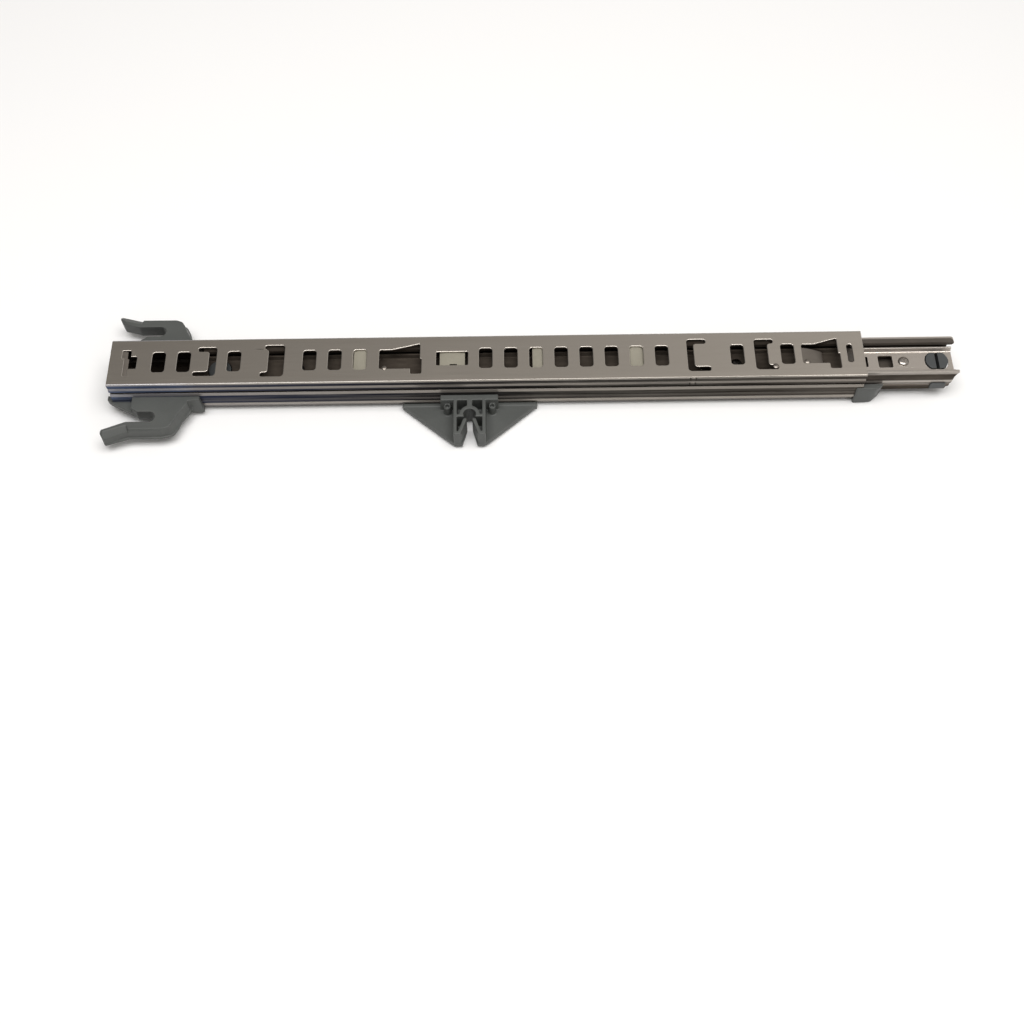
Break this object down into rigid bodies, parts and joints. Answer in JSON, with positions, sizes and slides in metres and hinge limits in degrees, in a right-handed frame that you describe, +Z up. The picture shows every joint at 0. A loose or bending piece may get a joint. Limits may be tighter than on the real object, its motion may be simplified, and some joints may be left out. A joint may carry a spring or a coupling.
{
  "type": "cabinet drawer slide",
  "caption": "Over-and-under ball-bearing drawer slide: perforated drawer rail on a double middle rail and a cabinet rail, with moulded hook bracket, snap clip and end cap.",
  "frame": {"origin": "middle of the rails in plan, on the plane of the snap clip's underside", "axes": "+X along the rails towards the front, the way the drawer pulls out; +Z up towards the drawer; +Y away from the snap clip"},
  "size_m": [0.5097, 0.0907, 0.0275],
  "materials": {
    "rail_steel": "plated, fine rolled grain along the rail",
    "inner_steel": "plated, fine rolled grain along the rail",
    "zinc": "bright zinc plate",
    "ball_steel": "polished",
    "grey_plastic": "fine moulded texture, half matt",
    "cream_plastic": "smooth moulded"
  },
  "bodies": {
    "cabinet_member": {"cabinet_rail": "rail_steel", "rear_hook_bracket": "grey_plastic", "bracket_rivets": "zinc", "snap_clip": "grey_plastic", "clip_rivets": "zinc", "front_end_cap": "grey_plastic"},
    "lower_ball_cage": {"lower_cage": "cream_plastic", "lower_near_balls": "ball_steel", "lower_far_balls": "ball_steel"},
    "middle_member": {"middle_rail_upper": "inner_steel", "middle_rail_lower": "inner_steel", "joining_rivets": "zinc", "front_stop": "grey_plastic", "rear_stop": "grey_plastic"},
    "upper_ball_cage": {"upper_cage": "cream_plastic", "upper_near_balls": "ball_steel", "upper_far_balls": "ball_steel", "cage_rollers": "cream_plastic"},
    "drawer_member": {"drawer_rail": "rail_steel"}
  },
  "joints": [
    {"name": "middle_slide", "type": "slide", "parent": "cabinet_member", "child": "middle_member", "axis": [1, 0, 0], "range_m": [-0.055, 0.17]},
    {"name": "drawer_slide", "type": "slide", "parent": "middle_member", "child": "drawer_member", "axis": [1, 0, 0], "range_m": [0, 0.28]},
    {"name": "lower_cage_slide", "type": "slide", "parent": "cabinet_member", "child": "lower_ball_cage", "axis": [1, 0, 0], "range_m": [-0.0275, 0.085]},
    {"name": "upper_cage_slide", "type": "slide", "parent": "middle_member", "child": "upper_ball_cage", "axis": [1, 0, 0], "range_m": [0, 0.14]}
  ],
  "couplings": [
    {"joint": "lower_cage_slide", "follows": "middle_slide", "ratio": 0.5},
    {"joint": "upper_cage_slide", "follows": "drawer_slide", "ratio": 0.5}
  ]
}
